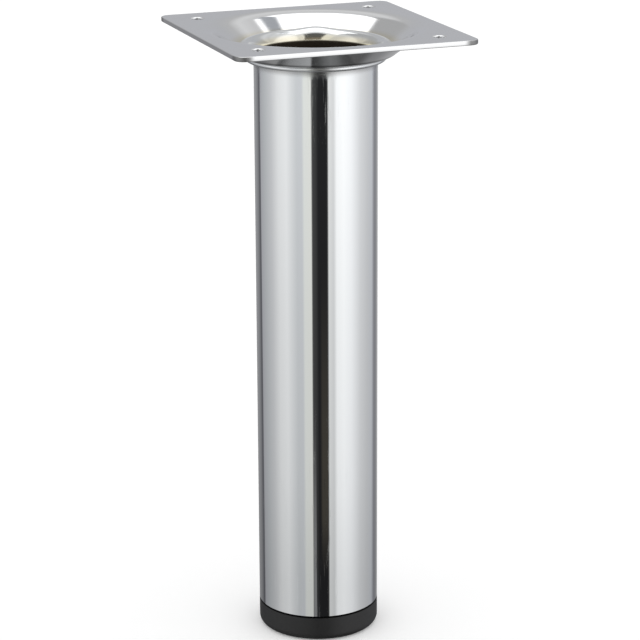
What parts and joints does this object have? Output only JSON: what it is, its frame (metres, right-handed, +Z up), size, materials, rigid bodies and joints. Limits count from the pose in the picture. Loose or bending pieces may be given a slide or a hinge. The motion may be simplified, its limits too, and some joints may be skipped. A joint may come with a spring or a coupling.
{
  "type": "table leg",
  "caption": "Round chromed furniture leg with a pressed square mounting plate and a black height-adjusting foot.",
  "frame": {"origin": "centre of the foot's underside, on the floor", "axes": "+Z up along the leg to the mounting plate; the plate's edges run along X and Y"},
  "size_m": [0.1, 0.1, 0.255],
  "materials": {
    "plate_chrome": "bright chrome plating on pressed steel, duller and faintly yellow down in the dish",
    "tube_chrome": "mirror chrome plating outside, dark bare steel inside",
    "plug_plastic": "black moulded plastic",
    "nut_steel": "zinc-plated steel",
    "screw_steel": "zinc-plated steel",
    "foot_plastic": "black moulded plastic, fine matt texture"
  },
  "bodies": {
    "leg": {"mounting_plate": "plate_chrome", "tube": "tube_chrome", "tube_plug": "plug_plastic", "captive_nut": "nut_steel"},
    "screw": {"levelling_screw": "screw_steel"},
    "foot": {"foot_disc": "foot_plastic"}
  },
  "joints": [
    {"name": "foot_travel", "type": "slide", "parent": "leg", "child": "screw", "axis": [0, 0, -1], "range_m": [0, 0.02]},
    {"name": "foot_turn", "type": "hinge", "parent": "screw", "child": "foot", "pos_m": [0, 0, 0.005], "axis": [0, 0, -1], "range_deg": [0, 4800]}
  ],
  "couplings": [
    {"joint": "foot_travel", "follows": "foot_turn", "m_per_rad": 0.00023873}
  ]
}
